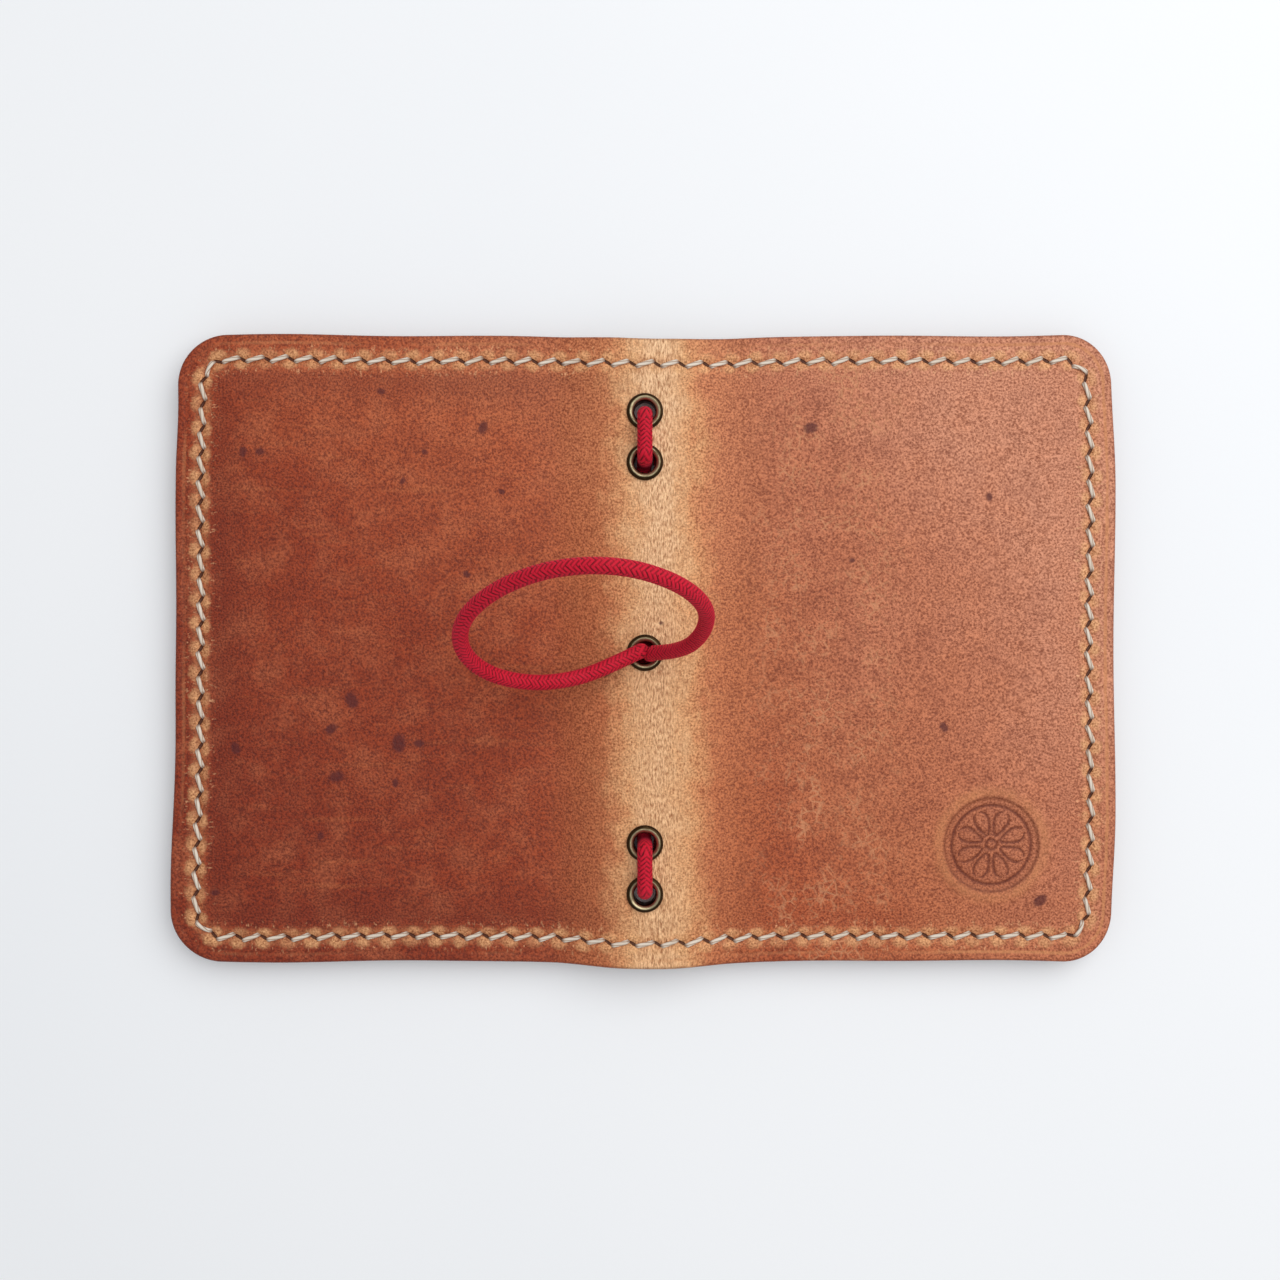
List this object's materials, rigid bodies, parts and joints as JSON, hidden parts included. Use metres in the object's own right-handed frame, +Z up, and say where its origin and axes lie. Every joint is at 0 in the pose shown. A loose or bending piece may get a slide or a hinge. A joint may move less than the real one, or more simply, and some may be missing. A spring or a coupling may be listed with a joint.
{
  "type": "card holder",
  "caption": "Bifold leather card holder with saddle-stitched edges, card pockets inside, eyelets along the spine and a red elastic closing loop, lying open with its outer face up.",
  "frame": {"origin": "on the surface the holder lies on, under the middle of its spine", "axes": "+X across the covers towards the front cover, +Y along the spine towards its top, +Z up, out of the outer leather face"},
  "size_m": [0.15, 0.1, 0.0422],
  "materials": {
    "outer_leather": "waxed pull-up leather, satin",
    "lining": "flesh-side leather, matt",
    "pocket_leather": "waxed leather, satin",
    "thread": "waxed linen thread",
    "eyelet_brass": "antiqued, satin",
    "red_elastic": "braided cover, soft sheen"
  },
  "bodies": {
    "back_cover": {"back_cover_leather": "outer_leather", "back_lining": "lining", "back_wide_pocket": "pocket_leather", "back_narrow_pocket": "pocket_leather", "back_seam_thread": "thread"},
    "spine": {"spine_leather": "outer_leather", "spine_lining": "lining", "spine_seam_thread": "thread", "eyelet_top_outer": "eyelet_brass", "eyelet_top_inner": "eyelet_brass", "eyelet_middle": "eyelet_brass", "eyelet_bottom_inner": "eyelet_brass", "eyelet_bottom_outer": "eyelet_brass", "eyelet_washer_top_outer": "eyelet_brass", "eyelet_washer_top_inner": "eyelet_brass", "eyelet_washer_middle": "eyelet_brass", "eyelet_washer_bottom_inner": "eyelet_brass", "eyelet_washer_bottom_outer": "eyelet_brass", "retaining_elastic": "red_elastic", "elastic_crimp": "eyelet_brass", "loop_neck": "red_elastic", "loop_knot": "red_elastic"},
    "front_cover": {"front_cover_leather": "outer_leather", "front_lining": "lining", "front_wide_pocket": "pocket_leather", "front_narrow_pocket": "pocket_leather", "front_seam_thread": "thread"},
    "closing_loop": {"closing_loop": "red_elastic"}
  },
  "joints": [
    {"name": "spine_fold", "type": "hinge", "parent": "back_cover", "child": "spine", "pos_m": [-0.00585, 0, 0.005], "axis": [0, 1, 0], "range_deg": [0, 90]},
    {"name": "front_fold", "type": "hinge", "parent": "spine", "child": "front_cover", "pos_m": [0.00585, 0, 0.005], "axis": [0, 1, 0], "range_deg": [0, 90]},
    {"name": "loop_swing", "type": "hinge", "parent": "spine", "child": "closing_loop", "pos_m": [0, -0.0007, 0.00892], "axis": [1, 0, 0], "range_deg": [-60, 45], "stiffness_Nm_per_rad": 0.001}
  ],
  "couplings": [
    {"joint": "front_fold", "follows": "spine_fold", "ratio": 1}
  ]
}
